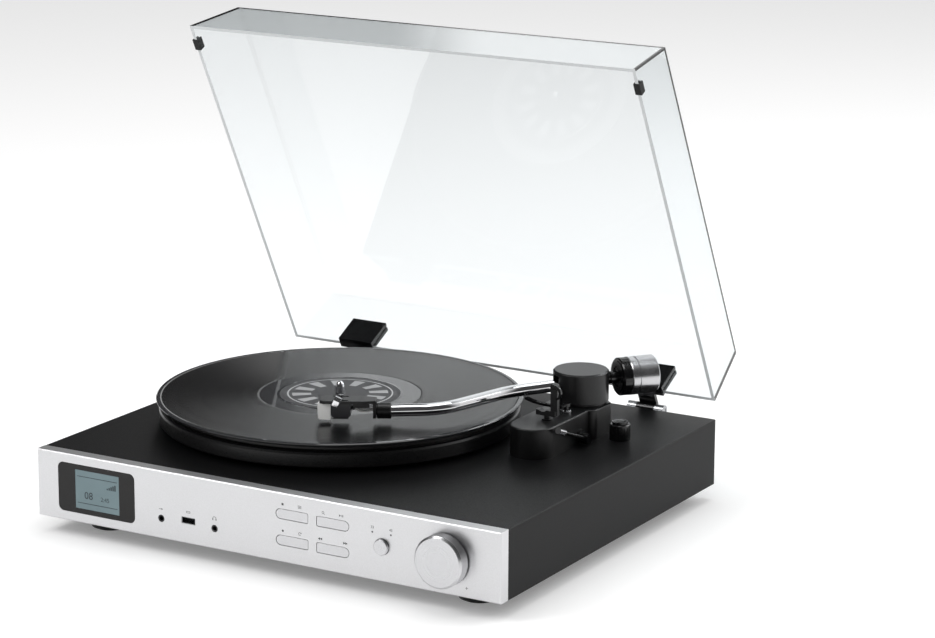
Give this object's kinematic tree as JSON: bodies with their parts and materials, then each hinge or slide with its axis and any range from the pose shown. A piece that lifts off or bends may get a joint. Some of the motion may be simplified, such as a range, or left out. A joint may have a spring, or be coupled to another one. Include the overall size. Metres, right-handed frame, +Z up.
{
  "type": "turntable",
  "caption": "Belt-driven record player with an S-shaped tonearm, front controls with display, and a hinged clear dust cover standing open.",
  "frame": {"origin": "on the floor under the middle of the whole object with its cover open", "axes": "+X to the right along the front, +Y to the back, +Z up"},
  "size_m": [0.427, 0.4307, 0.3905],
  "materials": {
    "black_plastic": "fine textured satin black",
    "gloss_black": "gloss black",
    "fascia_aluminium": "brushed satin",
    "clear_acrylic": "clear polished",
    "rubber": "matte",
    "grey_rubber": "matte",
    "chrome": "polished",
    "steel": "satin",
    "brass": "turned",
    "cast_black": "satin black anodised",
    "circuit_board": "solder mask",
    "vinyl": "grooved gloss black",
    "label_paper": "printed paper",
    "lcd_glass": "display glass",
    "white_plastic": "moulded white",
    "grey_plastic": "satin"
  },
  "bodies": {
    "chassis": {"plinth": "black_plastic", "base_cover": "black_plastic", "base_screws": "steel", "feet": "gloss_black", "foot_pads": "rubber", "front_fascia": "fascia_aluminium", "display_window": "gloss_black", "lcd_module": "lcd_glass", "aux_jack": "gloss_black", "headphone_jack": "gloss_black", "usb_socket": "steel", "control_board": "circuit_board", "main_board": "circuit_board", "power_supply": "circuit_board", "bearing_well": "brass", "motor": "steel", "motor_mounts": "rubber", "drive_belt": "rubber", "arm_base": "black_plastic", "arm_collar": "chrome", "arm_rest": "black_plastic", "lift_cylinder": "steel", "hinge_hardware": "steel", "rear_panel": "steel", "back_sockets": "brass", "mains_inlet": "black_plastic"},
    "turntable_platter": {"platter": "cast_black", "platter_mat": "rubber", "record": "vinyl", "record_label": "label_paper", "spindle": "chrome"},
    "drive_pulley": {"motor_pulley": "brass"},
    "cover": {"dust_cover": "clear_acrylic", "cover_bumpers": "rubber", "hinge_clips": "gloss_black"},
    "arm_gimbal": {"bearing_housing": "cast_black", "pivot_bearings": "steel"},
    "tonearm": {"arm_tube": "chrome", "tail_stub": "steel", "headshell": "cast_black", "cartridge": "grey_plastic", "stylus": "white_plastic", "cartridge_screws": "steel", "finger_lift": "chrome", "lead_wires": "grey_rubber"},
    "balance_weight": {"counterweight": "chrome"},
    "tracking_dial": {"force_dial": "gloss_black"},
    "shell_collar": {"locking_collar": "steel"},
    "lift_bar": {"cue_lift": "gloss_black"},
    "lift_lever": {"cue_lever": "gloss_black", "cue_lever_tip": "chrome"},
    "rest_clip": {"arm_clip": "black_plastic"},
    "anti_skate": {"anti_skate_dial": "gloss_black"},
    "speed_selector": {"speed_knob": "fascia_aluminium"},
    "volume_plunger": {"volume_shaft": "steel"},
    "volume_dial": {"volume_knob": "fascia_aluminium"},
    "rocker_1": {"key_1": "fascia_aluminium"},
    "rocker_2": {"key_2": "fascia_aluminium"},
    "rocker_3": {"key_3": "fascia_aluminium"},
    "rocker_4": {"key_4": "fascia_aluminium"}
  },
  "joints": [
    {"name": "cover_hinge", "type": "hinge", "parent": "chassis", "child": "cover", "pos_m": [0, 0.16685, 0.0661], "axis": [1, 0, 0], "range_deg": [0, 62.6]},
    {"name": "platter_spin", "type": "hinge", "parent": "chassis", "child": "turntable_platter", "pos_m": [-0.0495, -0.01055, 0.08], "axis": [0, 0, 1], "continuous": true},
    {"name": "pulley_spin", "type": "hinge", "parent": "chassis", "child": "drive_pulley", "pos_m": [-0.12092, 0.08086, 0.0775], "axis": [0, 0, 1], "continuous": true},
    {"name": "arm_swing", "type": "hinge", "parent": "chassis", "child": "arm_gimbal", "pos_m": [0.1325, 0.06845, 0.11], "axis": [0, 0, 1], "range_deg": [-8.5, 39.5]},
    {"name": "arm_pitch", "type": "hinge", "parent": "arm_gimbal", "child": "tonearm", "pos_m": [0.1325, 0.06845, 0.11], "axis": [-0.7313, 0.6821, 0], "range_deg": [0, 2.85]},
    {"name": "weight_turn", "type": "hinge", "parent": "tonearm", "child": "balance_weight", "pos_m": [0.16397, 0.10731, 0.1115], "axis": [0.6293, 0.7771, 0], "continuous": true},
    {"name": "dial_turn", "type": "hinge", "parent": "tonearm", "child": "tracking_dial", "pos_m": [0.15579, 0.0972, 0.1115], "axis": [0.6293, 0.7771, 0], "continuous": true},
    {"name": "collar_turn", "type": "hinge", "parent": "tonearm", "child": "shell_collar", "pos_m": [0.02719, -0.06523, 0.1024], "axis": [0.8802, 0.4745, 0], "range_deg": [0, 60]},
    {"name": "cue_lever_turn", "type": "hinge", "parent": "chassis", "child": "lift_lever", "pos_m": [0.157, 0.03295, 0.0745], "axis": [-1, 0, 0], "range_deg": [0, 55]},
    {"name": "cue_lift_slide", "type": "slide", "parent": "chassis", "child": "lift_bar", "axis": [0, 0, 1], "range_m": [0, 0.0024]},
    {"name": "rest_clip_swing", "type": "hinge", "parent": "chassis", "child": "rest_clip", "pos_m": [0.1428, 0.00275, 0.1224], "axis": [0, 1, 0], "range_deg": [0, 95]},
    {"name": "anti_skate_turn", "type": "hinge", "parent": "chassis", "child": "anti_skate", "pos_m": [0.1728, 0.06095, 0.077], "axis": [0, 0, -1], "range_deg": [0, 270]},
    {"name": "speed_turn", "type": "hinge", "parent": "chassis", "child": "speed_selector", "pos_m": [0.1107, -0.20335, 0.0415], "axis": [0, 1, 0], "range_deg": [0, 74]},
    {"name": "volume_push", "type": "slide", "parent": "chassis", "child": "volume_plunger", "axis": [0, 1, 0], "range_m": [0, 0.0012], "stiffness_N_per_m": 600},
    {"name": "volume_turn", "type": "hinge", "parent": "volume_plunger", "child": "volume_dial", "pos_m": [0.166, -0.20935, 0.0414], "axis": [0, 1, 0], "continuous": true},
    {"name": "key_1_rock", "type": "hinge", "parent": "chassis", "child": "rocker_1", "pos_m": [0.0299, -0.19755, 0.0526], "axis": [0, 0, 1], "range_deg": [-2.5, 2.5], "stiffness_Nm_per_rad": 0.12},
    {"name": "key_2_rock", "type": "hinge", "parent": "chassis", "child": "rocker_2", "pos_m": [0.0668, -0.19755, 0.0522], "axis": [0, 0, 1], "range_deg": [-2.5, 2.5], "stiffness_Nm_per_rad": 0.12},
    {"name": "key_3_rock", "type": "hinge", "parent": "chassis", "child": "rocker_3", "pos_m": [0.0299, -0.19755, 0.0316], "axis": [0, 0, 1], "range_deg": [-2.5, 2.5], "stiffness_Nm_per_rad": 0.12},
    {"name": "key_4_rock", "type": "hinge", "parent": "chassis", "child": "rocker_4", "pos_m": [0.0668, -0.19755, 0.0312], "axis": [0, 0, 1], "range_deg": [-2.5, 2.5], "stiffness_Nm_per_rad": 0.12}
  ],
  "couplings": [
    {"joint": "pulley_spin", "follows": "platter_spin", "ratio": 12.571},
    {"joint": "cue_lift_slide", "follows": "cue_lever_turn", "m_per_rad": 0.002396},
    {"joint": "arm_pitch", "follows": "cue_lever_turn", "ratio": 0.050909}
  ]
}
